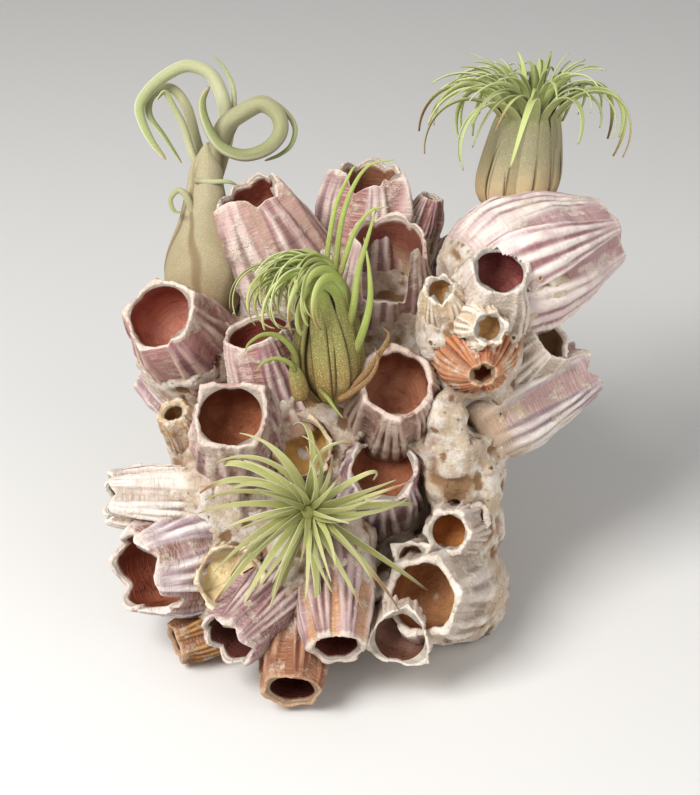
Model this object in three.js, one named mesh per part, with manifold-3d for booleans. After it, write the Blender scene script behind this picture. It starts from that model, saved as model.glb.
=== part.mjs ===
// A cluster of giant barnacle shells grown on each other, with four air plants tucked in among them.
// Millimetres, +Z up, the front faces -Y. The cut face of the shared crust lies on Z = 0, round the origin.
import * as THREE from "three";
import { mergeVertices } from "three/addons/utils/BufferGeometryUtils.js";
import Module from "manifold-3d";

const wasm = await Module();
wasm.setup();

const GAP = 0.35; // clearance left between two pieces that grew against each other
const WALL = 1.9; // thickness of a shell's wall at its lip
const SHELL_SIDES = 8;
const BULB_SIDES = 8;
const MOUTH_ROOM = 2.5; // height kept free above a mouth
const UP = new THREE.Vector3(0, 1, 0); // a lathe's axis
const TILT_BACK = THREE.MathUtils.degToRad(-32); // the curly plant leans back by this much

// Each shell: the middle of its lip, the way it points (turn from the front towards +X and lift above level, in
// degrees), the outer radius of its lip and of its belly, and its length from foot to lip. Shells listed first
// keep their whole shape, and the later ones are cut back where they grew against them.
const SHELLS = [
  { name: "barnacle_top_left", lip: [-40, 53, 150], turn: -102, lift: 64, mouth: 12.5, girth: 20, length: 52 },
  { name: "barnacle_top_middle", lip: [8, 69, 151], turn: 163, lift: 80, mouth: 13, girth: 20, length: 52 },
  { name: "barnacle_upper_left", lip: [-72, 12, 118], turn: -27, lift: 53, mouth: 13.5, girth: 19, length: 48 },
  { name: "barnacle_centre", lip: [17, -20, 107], turn: 0, lift: 50, mouth: 13.5, girth: 18.5, length: 42 },
  { name: "barnacle_broken_middle", lip: [15, 31, 141], turn: 17, lift: 80, mouth: 14, girth: 17, length: 48 },
  { name: "barnacle_left_centre", lip: [-44, -22, 94], turn: -5, lift: 56, mouth: 13.5, girth: 17, length: 44 },
  { name: "barnacle_small_left", lip: [32, -7, 139], turn: -24, lift: 61, mouth: 5.5, girth: 9, length: 18 },
  { name: "barnacle_small_right", lip: [50, -19, 129], turn: 22, lift: 21, mouth: 6, girth: 8.5, length: 14 },
  { name: "barnacle_red_mouth", lip: [54, 3, 140], turn: 20, lift: 62, mouth: 10.5, girth: 16, length: 46 },
  { name: "barnacle_orange_base", lip: [48, -23, 112], turn: 6, lift: 2, mouth: 4.5, girth: 15, length: 22 },
  { name: "barnacle_big_right", lip: [97, 42, 136], turn: 117, lift: 8, mouth: 14, girth: 25, length: 60 },
  { name: "barnacle_left_big", lip: [-80, -45, 39], turn: -53, lift: 11, mouth: 15.5, girth: 22, length: 52 },
  { name: "barnacle_bottom_left", lip: [-45, -71, 28], turn: -37, lift: -9, mouth: 11, girth: 15, length: 46 },
  { name: "barnacle_bottom_middle", lip: [-5, -78, 31], turn: 2, lift: -17, mouth: 9.5, girth: 13.5, length: 44 },
  { name: "barnacle_right_white", lip: [26, -62, 41], turn: -20, lift: 33, mouth: 14.5, girth: 18.5, length: 46 },
  { name: "barnacle_centre_lower", lip: [12, -27, 74], turn: 0, lift: 53, mouth: 12.5, girth: 16, length: 38 },
  { name: "barnacle_right_chalky", lip: [76, 4, 111], turn: 62, lift: 48, mouth: 8, girth: 14, length: 42 },
  { name: "barnacle_right_lower", lip: [91, 15, 92], turn: 113, lift: 19, mouth: 10, girth: 15, length: 52 },
  { name: "barnacle_left_upper_low", lip: [-91, -23, 58], turn: -80, lift: 10, mouth: 9, girth: 12.5, length: 40 },
  { name: "barnacle_bottom_front", lip: [-21, -81, 13], turn: -3, lift: -18, mouth: 10, girth: 13, length: 46 },
  { name: "barnacle_right_low", lip: [18, -72, 30], turn: -6, lift: 14, mouth: 11, girth: 12.5, length: 34 },
  { name: "barnacle_cream_broken", lip: [-44, -57, 46], turn: -7, lift: 38, mouth: 12, girth: 13, length: 24 },
  { name: "barnacle_behind_plant", lip: [-35, 8, 113], turn: -105, lift: 75, mouth: 13, girth: 16, length: 40 },
  { name: "barnacle_right_hollow", lip: [48, -12, 88], turn: 6, lift: 14, mouth: 7.5, girth: 9, length: 22 },
  { name: "barnacle_right_small", lip: [36, -45, 58], turn: -20, lift: 30, mouth: 8, girth: 10.5, length: 30 },
  { name: "barnacle_right_slit", lip: [22, -51, 51], turn: -31, lift: 40, mouth: 6.5, girth: 8, length: 22 },
  { name: "barnacle_right_knob", lip: [48, -32, 56], turn: 49, lift: 35, mouth: 5.5, girth: 7, length: 18 },
  { name: "barnacle_left_small", lip: [-67, -6, 85], turn: -43, lift: 64, mouth: 5.5, girth: 8.5, length: 28 },
  { name: "barnacle_bottom_tan", lip: [-66, -51, 10], turn: -63, lift: -6, mouth: 7, girth: 9, length: 26 },
  { name: "barnacle_yellow_behind", lip: [-18, -16, 77], turn: 8, lift: 43, mouth: 11, girth: 12, length: 28 },
  { name: "barnacle_top_knob", lip: [32, 63, 142], turn: 110, lift: 70, mouth: 4, girth: 8, length: 26 },
  { name: "barnacle_back_upper_left", lip: [-42, 84, 118], turn: -152, lift: 32, mouth: 12, girth: 17, length: 44 },
  { name: "barnacle_back_upper_right", lip: [46, 82, 112], turn: 150, lift: 36, mouth: 11, girth: 16, length: 42 },
  { name: "barnacle_back_middle", lip: [4, 92, 86], turn: 178, lift: 18, mouth: 13, girth: 18, length: 44 },
  { name: "barnacle_back_left", lip: [-80, 44, 78], turn: -112, lift: 26, mouth: 12, girth: 17, length: 44 },
  { name: "barnacle_back_right", lip: [80, 56, 82], turn: 124, lift: 12, mouth: 12, girth: 16, length: 42 },
  { name: "barnacle_back_low_left", lip: [-56, 74, 38], turn: -143, lift: 4, mouth: 13, girth: 18, length: 46 },
  { name: "barnacle_back_low_middle", lip: [-2, 90, 32], turn: 176, lift: -5, mouth: 12, girth: 16, length: 42 },
  { name: "barnacle_back_low_right", lip: [52, 72, 36], turn: 142, lift: 2, mouth: 12, girth: 17, length: 44 },
];

// Solids

function toSolid(geometry, matrix) {
  const bare = geometry.clone().applyMatrix4(matrix);
  bare.deleteAttribute("normal");
  bare.deleteAttribute("uv");
  const merged = mergeVertices(bare, 1e-3);
  const corners = merged.index.array;
  const triangles = [];
  for (let i = 0; i < corners.length; i += 3) {
    const [a, b, c] = [corners[i], corners[i + 1], corners[i + 2]];
    if (a !== b && b !== c && c !== a) triangles.push(a, b, c);
  }
  const vertProperties = new Float32Array(merged.attributes.position.array);
  return new wasm.Manifold(new wasm.Mesh({ numProp: 3, vertProperties, triVerts: new Uint32Array(triangles) }));
}

function toGeometry(solid, matrix) {
  const mesh = solid.getMesh();
  const geometry = new THREE.BufferGeometry();
  geometry.setAttribute("position", new THREE.BufferAttribute(new Float32Array(mesh.vertProperties), 3));
  geometry.setIndex(new THREE.BufferAttribute(new Uint32Array(mesh.triVerts), 1));
  geometry.applyMatrix4(matrix.clone().invert());
  geometry.computeVertexNormals();
  return geometry;
}

// The biggest piece of what a cut leaves over.
function largest(solid) {
  return solid.decompose().reduce((best, piece) => (piece.volume() > best.volume() ? piece : best));
}

// A body turned round the Y axis, from [radius, height] pairs that start and end on the axis.
function turned(profile, sides) {
  return new THREE.LatheGeometry(profile.map(([radius, height]) => new THREE.Vector2(radius, height)), sides);
}

// The same profile with a margin all round.
function grown(profile, margin) {
  return profile.map(([radius, height], i) => {
    if (i === 0 || height === profile[0][1]) height -= margin;
    if (i === profile.length - 1) height += margin;
    return [radius === 0 ? 0 : radius + margin, height];
  });
}

function direction(turn, lift) {
  const [t, l] = [THREE.MathUtils.degToRad(turn), THREE.MathUtils.degToRad(lift)];
  return new THREE.Vector3(Math.sin(t) * Math.cos(l), -Math.cos(t) * Math.cos(l), Math.sin(l));
}

// Barnacle shells

// Outer wall from foot to lip, as [radius, height] pairs.
function wallProfile({ mouth, girth, length }, extra) {
  return [
    [girth * 0.7 + extra, -extra],
    [girth + extra, length * 0.34],
    [(girth * 0.55 + mouth * 0.5) + extra, length * 0.72],
    [mouth + extra, length + extra],
  ];
}

// An open cup: the wall, a flat lip and the hollow down to its floor.
function shellGeometry(shell) {
  const { mouth, length } = shell;
  const hollow = [[mouth - WALL, length], [mouth * 0.7, length * 0.45], [0, length * 0.4]];
  return turned([[0, 0], ...wallProfile(shell, 0), ...hollow], SHELL_SIDES);
}

// The room a shell takes, mouth included: what its neighbours are cut back by.
function shellRoom(shell) {
  const above = [[shell.mouth * 0.8, shell.length + MOUTH_ROOM], [0, shell.length + MOUTH_ROOM]];
  return turned([[0, -GAP], ...wallProfile(shell, GAP), ...above], SHELL_SIDES);
}

function shellMatrix(shell) {
  const axis = direction(shell.turn, shell.lift);
  const foot = new THREE.Vector3(...shell.lip).addScaledVector(axis, -shell.length);
  const turnUp = new THREE.Quaternion().setFromUnitVectors(UP, axis);
  return new THREE.Matrix4().compose(foot, turnUp, new THREE.Vector3(1, 1, 1));
}

// Crust

// The limy crust that the shells share: a mound with lumps where it shows between them, cut off flat underneath.
const CRUST = {
  middle: [0, 22],
  squash: 0.92, // its depth front to back, as a share of its width
  mound: [[0, 0], [38, 0], [42, 22], [40, 52], [35, 80], [26, 98], [0, 104]],
  lumps: [
    { at: [34, -18, 70], size: [12, 12, 24] },
    { at: [-46, -8, 66], size: [13, 12, 16] },
    { at: [-26, -20, 24], size: [18, 14, 18] },
    { at: [20, -10, 22], size: [17, 14, 16] },
    { at: [50, 18, 108], size: [13, 14, 20] },
    { at: [-12, 50, 102], size: [24, 16, 20] },
  ],
};

function crustSolid(extra) {
  const profile = grown(CRUST.mound, extra);
  const stand = new THREE.Matrix4().makeRotationX(Math.PI / 2);
  stand.premultiply(new THREE.Matrix4().makeScale(1, CRUST.squash, 1));
  stand.premultiply(new THREE.Matrix4().makeTranslation(...CRUST.middle, 0));
  let solid = toSolid(turned(profile, 14), stand);
  for (const { at, size } of CRUST.lumps) {
    const lump = new THREE.Matrix4().makeTranslation(...at);
    lump.scale(new THREE.Vector3(...size.map((s) => s + extra)));
    solid = solid.add(toSolid(new THREE.IcosahedronGeometry(1, 1), lump));
  }
  return solid;
}

// Plants

// A leaf or stem: a tapering strip along a curve, widest at its root. "across" gives the way its width runs.
function stripGeometry({ points, width, thickness, tip = 0.25, steps = 8, sides = 5 }, across, extra = 0) {
  const curve = new THREE.CatmullRomCurve3(points.map((p) => new THREE.Vector3(...p)));
  const strip = new THREE.CylinderGeometry(1, 1, 1, sides, steps);
  const position = strip.attributes.position;
  for (let i = 0; i < position.count; i++) {
    const along = THREE.MathUtils.clamp(position.getY(i) + 0.5, 0, 1);
    const middle = curve.getPoint(along);
    const tangent = curve.getTangent(along);
    const wide = across(tangent).normalize();
    const thick = new THREE.Vector3().crossVectors(wide, tangent).normalize();
    const taper = THREE.MathUtils.lerp(1, tip, along ** 1.5);
    middle.addScaledVector(wide, position.getX(i) * ((width / 2) * taper + extra));
    middle.addScaledVector(thick, position.getZ(i) * ((thickness / 2) * taper + extra));
    if (extra > 0 && along === 0) middle.addScaledVector(tangent, -extra);
    if (extra > 0 && along === 1) middle.addScaledVector(tangent, extra);
    position.setXYZ(i, middle.x, middle.y, middle.z);
  }
  return strip;
}

// The curly plant, in its own leaning frame: X to the right, Z up along the plant, -Y to the front.
const CURLY = {
  at: [-53, 46, 108],
  bulb: [[0, -9], [9, -8], [14.5, 4], [14, 15], [8.5, 29], [5.4, 42], [4.6, 50], [0, 51]],
  bulbMiddle: -4,
  leaves: [
    {
      name: "curly_leaf_ring", width: 8, thickness: 3, tip: 0.35, steps: 14,
      points: [[-2, 0, 51.5], [0, 0, 58], [3, 1, 67], [11, 1, 73], [18, 0, 75.5], [24, -1, 71], [25, -2, 64],
        [20, -4, 57.5], [11, -6, 54.5], [2, -7, 58], [-3.5, -7, 67], [-5, -7, 75], [-2.5, -7, 81]],
    },
    {
      name: "curly_leaf_outer_ring", width: 3, thickness: 1.6, tip: 0.6, steps: 8,
      points: [[3, 5, 60], [12, 5, 76], [21, 5, 77], [28, 4, 72], [31, 3, 66], [29.5, 2, 59.5], [25, 2, 55.5],
        [19, 2, 53]],
    },
    {
      name: "curly_leaf_left_loop", width: 6, thickness: 2, tip: 0.6, steps: 12,
      points: [[-1, 5, 50], [1, 6, 62], [3, 6, 71], [1.5, 5, 80], [-3, 4, 88], [-11, 3, 91], [-18, 2, 88.5],
        [-25, 1, 83], [-30, 0, 76], [-30, 0, 70], [-26, -1, 61], [-20, -2, 53]],
    },
    {
      name: "curly_leaf_left_inner", width: 5.5, thickness: 1.6, tip: 0.5, steps: 8,
      points: [[-4, 8, 47], [-9, 9, 62], [-13, 9, 76], [-19, 8, 83], [-26, 6, 80], [-27, 4, 72], [-21, 2, 63],
        [-14, 1, 52]],
    },
    {
      name: "curly_leaf_stub", width: 4, thickness: 1.5, tip: 0.5, steps: 9,
      points: [[-6, 3, 47], [-10, 2, 56], [-13, 0, 66], [-17, -2, 74], [-20, -4, 79], [-23, -6, 76]],
    },
    {
      name: "curly_leaf_upright", width: 3.2, thickness: 1.5, tip: 0.35, steps: 9,
      points: [[2, 10, 47], [4, 10, 60], [6, 9, 72], [6, 8, 83], [2.5, 7, 91], [-1.5, 6, 95.5]],
    },
    {
      name: "curly_leaf_low_curl", width: 3.5, thickness: 1.4, tip: 0.5, steps: 8,
      points: [[-8, -8, 29], [-11, -8, 37], [-14.5, -8, 40], [-17.5, -8, 36.5], [-16, -9, 32], [-12.5, -12, 30.5]],
    },
    {
      name: "curly_leaf_crossing", width: 2.6, thickness: 1.2, tip: 0.4, steps: 6,
      points: [[-8, -9, 44], [-2, -8, 43.5], [5, -7, 43.5], [9, -5, 42]],
    },
  ],
};

// The three tufted plants: where the foot of the bulb is, the way the plant points, its bulb as [radius, height]
// pairs, and its leaves: how many, how far they reach, how high they rise and how far their tips drop or drift.
const TUFTS = [
  {
    name: "top_plant", at: [63, 48, 143], turn: 150, lift: 76,
    bulb: [[0, -5], [8, -4], [15, 6], [16, 14], [13.5, 28], [12, 40], [0, 42]],
    leaves: { count: 11, from: 41, reach: [12, 40], rise: [26, 34], drop: [4, 50], drift: [-3, 0, 0], width: 4.5 },
  },
  {
    name: "middle_plant", at: [-8, -17, 97], turn: 180, lift: 66,
    bulb: [[0, -3], [7, -2], [12.5, 10], [12.5, 22], [9, 36], [6, 44], [0, 45]],
    leaves: { count: 11, from: 44, reach: [8, 27], rise: [30, 22], drop: [2, 34], drift: [-12, 0, 0], width: 4 },
  },
  {
    name: "rosette_plant", at: [-15, -44, 67], turn: 0, lift: 32,
    bulb: [[0, -2], [4, -1], [6.5, 4], [6, 8], [0, 9]],
    leaves: { count: 12, from: 9, reach: [14, 42], rise: [14, 14], drop: [2, 12], drift: [0, 0, 0], width: 3.5 },
  },
];

const GOLDEN_TURN = Math.PI * (3 - Math.sqrt(5));

// Leaves spiral out from the heart of the tuft: the first is the youngest and most upright, and the last spreads
// the widest.
function tuftSolid({ leaves, turn, lift }, matrix) {
  const drift = new THREE.Vector3(...leaves.drift).applyQuaternion(
    new THREE.Quaternion().setFromUnitVectors(UP, direction(turn, lift)).invert());
  let solid = null;
  for (let i = 0; i < leaves.count; i++) {
    const age = (i + 0.5) / leaves.count;
    const angle = i * GOLDEN_TURN;
    const out = new THREE.Vector3(Math.cos(angle), 0, Math.sin(angle));
    const side = new THREE.Vector3(-out.z, 0, out.x);
    const [reach, rise, drop] = [leaves.reach, leaves.rise, leaves.drop].map(([a, b]) => a + (b - a) * age);
    const points = [0, 0.25, 0.5, 0.75, 1].map((t) => out.clone().multiplyScalar(1 + reach * t)
      .addScaledVector(drift, t * t)
      .add(new THREE.Vector3(0, leaves.from - 2 + rise * t - drop * t * t, 0))
      .toArray());
    const strip = stripGeometry({ points, width: leaves.width, thickness: 2.6, tip: 0.2, steps: 3, sides: 3 },
      () => side.clone());
    const leaf = toSolid(strip, matrix);
    solid = solid ? solid.add(leaf) : leaf;
  }
  const heart = new THREE.Matrix4().makeTranslation(0, leaves.from, 0).premultiply(matrix);
  return solid.add(toSolid(new THREE.IcosahedronGeometry(leaves.width, 0), heart));
}

// The cluster

const LOOKS = {
  shell: { color: 0xdcc6bb, roughness: 0.8 },
  crust: { color: 0xb59a80, roughness: 0.95 },
  bulb: { color: 0xb3a67c, roughness: 0.85 },
  leaf: { color: 0x9fb26b, roughness: 0.7 },
};

const root = new THREE.Group();
const taken = []; // the room of every piece made so far

function addPiece(name, look, solid, matrix, room, parent = root) {
  const box = solid.boundingBox();
  let cut = solid;
  for (const other of taken) {
    const apart = [0, 1, 2].some((k) => box.min[k] > other.box.max[k] || box.max[k] < other.box.min[k]);
    if (!apart) cut = cut.subtract(other.solid);
  }
  const material = new THREE.MeshStandardMaterial({ ...LOOKS[look], metalness: 0 });
  const mesh = new THREE.Mesh(toGeometry(largest(cut), matrix), material);
  mesh.name = name;
  const local = parent.matrixWorld.clone().invert().multiply(matrix);
  local.decompose(mesh.position, mesh.quaternion, mesh.scale);
  parent.add(mesh);
  if (room) taken.push({ solid: room, box: room.boundingBox() });
}

const ground = toSolid(new THREE.BoxGeometry(600, 600, 200), new THREE.Matrix4().makeTranslation(0, 0, -100));
taken.push({ solid: ground, box: ground.boundingBox() });

addPiece("cement_crust", "crust", crustSolid(0), new THREE.Matrix4(), crustSolid(GAP));

for (const shell of SHELLS) {
  const matrix = shellMatrix(shell);
  addPiece(shell.name, "shell", toSolid(shellGeometry(shell), matrix), matrix, toSolid(shellRoom(shell), matrix));
}

const curly = new THREE.Group();
curly.position.set(...CURLY.at);
curly.rotation.x = TILT_BACK;
root.add(curly);
root.updateMatrixWorld(true);

const bulbStand = new THREE.Matrix4().makeRotationX(Math.PI / 2).setPosition(CURLY.bulbMiddle, 0, 0);
const bulbMatrix = curly.matrixWorld.clone().multiply(bulbStand);
addPiece("curly_bulb", "bulb", toSolid(turned(CURLY.bulb, BULB_SIDES), bulbMatrix), bulbMatrix,
  toSolid(turned(grown(CURLY.bulb, GAP), BULB_SIDES), bulbMatrix), curly);

const facing = new THREE.Vector3(0, -1, 0);
for (const leaf of CURLY.leaves) {
  const across = (tangent) => tangent.clone().cross(facing);
  addPiece(leaf.name, "leaf", toSolid(stripGeometry(leaf, across), curly.matrixWorld), curly.matrixWorld,
    toSolid(stripGeometry(leaf, across, GAP), curly.matrixWorld), curly);
}

for (const tuft of TUFTS) {
  const turnUp = new THREE.Quaternion().setFromUnitVectors(UP, direction(tuft.turn, tuft.lift));
  const matrix = new THREE.Matrix4().compose(new THREE.Vector3(...tuft.at), turnUp, new THREE.Vector3(1, 1, 1));
  addPiece(`${tuft.name}_bulb`, "bulb", toSolid(turned(tuft.bulb, BULB_SIDES), matrix), matrix,
    toSolid(turned(grown(tuft.bulb, GAP), BULB_SIDES), matrix));
  addPiece(`${tuft.name}_leaves`, "leaf", tuftSolid(tuft, matrix), matrix, null);
}

export default root;
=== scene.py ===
import itertools
import math

import bpy
import numpy as np
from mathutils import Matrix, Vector
from mathutils.bvhtree import BVHTree


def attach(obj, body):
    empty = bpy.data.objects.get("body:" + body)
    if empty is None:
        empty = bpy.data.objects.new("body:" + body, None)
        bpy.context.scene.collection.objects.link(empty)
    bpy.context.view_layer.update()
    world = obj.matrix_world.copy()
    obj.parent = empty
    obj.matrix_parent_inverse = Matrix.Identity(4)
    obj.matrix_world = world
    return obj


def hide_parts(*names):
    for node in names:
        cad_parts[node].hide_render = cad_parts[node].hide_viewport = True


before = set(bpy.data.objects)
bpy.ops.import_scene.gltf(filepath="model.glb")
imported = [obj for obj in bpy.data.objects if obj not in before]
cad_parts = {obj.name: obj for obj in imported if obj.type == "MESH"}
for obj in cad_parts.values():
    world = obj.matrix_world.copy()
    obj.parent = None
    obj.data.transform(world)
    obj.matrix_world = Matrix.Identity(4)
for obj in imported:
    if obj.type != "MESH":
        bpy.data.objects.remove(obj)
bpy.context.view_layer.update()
print("frame loaded:", len(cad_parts), "solids")

mm = 0.001  # everything below is worked out in millimetres and turned into metres when a mesh is made
lipWall = 1.9  # thickness of the solids' walls at the lip
goldenTurn = math.pi * (3 - math.sqrt(5))
bladeSteps = 30  # along the free part of a leaf
strayRows = 60
curlyRows = 90
curlySides = 96


# numbers and noise

def unit(vector):
    vector = np.asarray(vector, float)
    return vector / np.linalg.norm(vector)


def smooth(low, high, value):
    step = np.clip((value - low) / (high - low), 0, 1)
    return step * step * (3 - 2 * step)


def blend(first, second, share):
    return first + (second - first) * share


def latticeValues(corner, seed):
    mixed = corner @ np.array([374761393, 668265263, 2147483647]) + seed * 974634777
    mixed = (mixed ^ (mixed >> 13)) * 1274126177
    return ((mixed ^ (mixed >> 16)) & 0xFFFF) / 32767.5 - 1


# smooth random values from -1 to 1 that change over about the given size
def valueNoise(points, size, seed):
    cell = np.asarray(points, float) / size
    base = np.floor(cell).astype(np.int64)
    part = cell - base
    part = part * part * (3 - 2 * part)
    total = 0
    for corner in itertools.product((0, 1), repeat=3):
        weight = np.prod(np.where(corner, part, 1 - part), axis=-1)
        total = total + weight * latticeValues(base + np.array(corner), seed)
    return total


def roughNoise(points, size, octaves, seed):
    total = 0
    for k in range(octaves):
        total = total + valueNoise(points, size / 2 ** k, seed + 17 * k) / 2 ** k
    return total / 1.6


# facing directions: turn runs from the front towards +X, lift is above level, both in degrees
def direction(turn, lift):
    turn, lift = math.radians(turn), math.radians(lift)
    return np.array([math.sin(turn) * math.cos(lift), -math.cos(turn) * math.cos(lift), math.sin(lift)])


# meshes

def solidArrays(node):
    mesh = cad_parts[node].data
    mesh.calc_loop_triangles()
    points = np.empty(len(mesh.vertices) * 3)
    mesh.vertices.foreach_get("co", points)
    corners = np.empty(len(mesh.loop_triangles) * 3, np.int32)
    mesh.loop_triangles.foreach_get("vertices", corners)
    return points.reshape(-1, 3) / mm, corners.reshape(-1, 3)


# faces of a grid whose rows close round on themselves, with a fan over the first and the last row if asked
def ringFaces(rows, columns, start=0, closeFirst=None, closeLast=None):
    row = np.arange(rows - 1)[:, None] * columns
    here = np.arange(columns)[None, :]
    after = (here + 1) % columns
    quads = np.stack([row + here, row + after, row + columns + after, row + columns + here], -1)
    faces = (quads.reshape(-1, 4) + start).tolist()
    if closeFirst is not None:
        faces += [[closeFirst, start + (i + 1) % columns, start + i] for i in range(columns)]
    if closeLast is not None:
        last = start + (rows - 1) * columns
        faces += [[closeLast, last + i, last + (i + 1) % columns] for i in range(columns)]
    return faces


def makePiece(name, points, faces, values, material, replaced):
    mesh = bpy.data.meshes.new(name)
    mesh.from_pydata((points * mm).tolist(), [], faces)
    mesh.validate()
    for key, numbers in values.items():
        kind, field = ("FLOAT_VECTOR", "vector") if numbers.ndim == 2 else ("FLOAT", "value")
        layer = mesh.attributes.new(key, kind, "POINT")
        layer.data.foreach_set(field, numbers.astype(np.float32).ravel())
    mesh.polygons.foreach_set("use_smooth", np.ones(len(mesh.polygons), bool))
    mesh.materials.append(material)
    mesh.update()
    piece = bpy.data.objects.new(name, mesh)
    bpy.context.scene.collection.objects.link(piece)
    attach(piece, "root")
    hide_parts(*replaced)
    return piece


# materials

def colour(code):
    parts = [int(code[k:k + 2], 16) / 255 for k in (1, 3, 5)]
    return tuple(p / 12.92 if p <= 0.04045 else ((p + 0.055) / 1.055) ** 2.4 for p in parts) + (1.0,)


class Link:  # an output socket that can be written into sums
    def __init__(self, finish, socket):
        self.finish = finish
        self.socket = socket

    def math(self, operation, first, second):
        return self.finish.node("ShaderNodeMath", {"operation": operation}, {0: first, 1: second})

    def __add__(self, other):
        return self.math("ADD", self, other)

    __radd__ = __add__

    def __sub__(self, other):
        return self.math("SUBTRACT", self, other)

    def __rsub__(self, other):
        return self.math("SUBTRACT", other, self)

    def __mul__(self, other):
        return self.math("MULTIPLY", self, other)

    __rmul__ = __mul__


class Finish:  # a material and the making of its nodes
    def __init__(self, name):
        self.material = bpy.data.materials.new(name)
        self.material.use_nodes = True
        self.tree = self.material.node_tree
        self.tree.nodes.clear()

    def node(self, kind, settings, inputs, output=0):
        made = self.tree.nodes.new(kind)
        for key, value in settings.items():
            setattr(made, key, value)
        for key, value in inputs.items():
            if isinstance(value, Link):
                self.tree.links.new(value.socket, made.inputs[key])
            else:
                made.inputs[key].default_value = value
        return Link(self, made.outputs[output]) if made.outputs else None

    def value(self, name):
        return self.node("ShaderNodeAttribute", {"attribute_name": name}, {}, 2)

    def place(self, name):
        return self.node("ShaderNodeAttribute", {"attribute_name": name}, {}, 1)

    def stretch(self, place, scale):
        return self.node("ShaderNodeVectorMath", {"operation": "MULTIPLY"}, {0: place, 1: scale})

    def noise(self, place, scale, detail=3.0, roughness=0.55):
        return self.node("ShaderNodeTexNoise", {},
                         {"Vector": place, "Scale": scale, "Detail": detail, "Roughness": roughness})

    def pits(self, place, scale):
        return self.node("ShaderNodeTexVoronoi", {}, {"Vector": place, "Scale": scale})

    def step(self, value, low, high):
        return self.node("ShaderNodeMapRange", {"interpolation_type": "SMOOTHSTEP"},
                         {"Value": value, "From Min": low, "From Max": high})

    def mix(self, first, second, share, kind="MIX"):  # of links or colour codes
        first, second = (colour(shade) if isinstance(shade, str) else shade for shade in (first, second))
        return self.node("ShaderNodeMix", {"data_type": "RGBA", "blend_type": kind},
                         {0: share, 6: first, 7: second}, 2)

    def finish(self, base, roughness, height, bumpDepth, constants):
        bump = self.node("ShaderNodeBump", {}, {"Strength": 1.0, "Distance": bumpDepth * mm,
                                                "Height": height})
        surface = self.node("ShaderNodeBsdfPrincipled", {},
                            {"Base Color": base, "Roughness": roughness, "Normal": bump, **constants})
        self.node("ShaderNodeOutputMaterial", {}, {"Surface": surface})
        return self.material


# shells

# The flat lip is a ring with corners on two circles, one wall apart. This finds the pair that most of the
# points are on.
def lipCircle(points, axis):
    side = unit(np.cross(axis, [0.31, 0.57, 0.76]))
    plane = np.stack([side, np.cross(axis, side)])
    flat = np.unique(np.round(points @ plane.T, 2), axis=0)[:26]
    trios = np.array(list(itertools.combinations(range(len(flat)), 3)))
    if len(trios) < 20:
        return None, 0, 0
    a, b, c = (flat[trios[:, k]] for k in range(3))
    ab, ac = b - a, c - a
    twice = 2 * (ab[:, 0] * ac[:, 1] - ab[:, 1] * ac[:, 0])
    twice[np.abs(twice) < 1] = np.inf
    lengthB, lengthC = (ab ** 2).sum(1), (ac ** 2).sum(1)
    across = np.stack([ac[:, 1] * lengthB - ab[:, 1] * lengthC, ab[:, 0] * lengthC - ac[:, 0] * lengthB], 1)
    middle = a + across / twice[:, None]
    radius = np.linalg.norm(middle - a, axis=1)[:, None]
    reach = np.linalg.norm(flat[None] - middle[:, None], axis=2)
    outer = (np.abs(reach - radius) < 0.05).sum(1)
    inner = (np.abs(reach - radius + lipWall) < 0.05).sum(1)
    members = np.where((outer > 2) & (inner > 1) & (radius[:, 0] < 25), outer + inner, 0)
    best = int(np.argmax(members))
    return middle[best] @ plane + axis * float(points[0] @ axis), float(radius[best, 0]), int(members[best])


# Where a shell's solid is: the middle of its flat lip, the way it faces, and its radii and length.
def measureShell(node):
    points, corners = solidArrays(node)
    a, b, c = (points[corners[:, k]] for k in range(3))
    normals = np.cross(b - a, c - a)
    areas = np.linalg.norm(normals, axis=1)
    found = {"members": 0}
    for i in np.argsort(-areas):
        if areas[i] < 0.5:
            break
        axis = normals[i] / areas[i]
        heights = (points - a[i]) @ axis
        if heights.max() > 0.06:
            continue
        middle, radius, members = lipCircle(points[heights > -0.06], axis)
        if members > found["members"]:
            away = points - middle
            girth = np.linalg.norm(away - np.outer(away @ axis, axis), axis=1).max()
            found = {"members": members, "lip": middle, "axis": axis, "mouth": radius,
                     "girth": float(girth), "length": float(-(away @ axis).min())}
    return found


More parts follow.
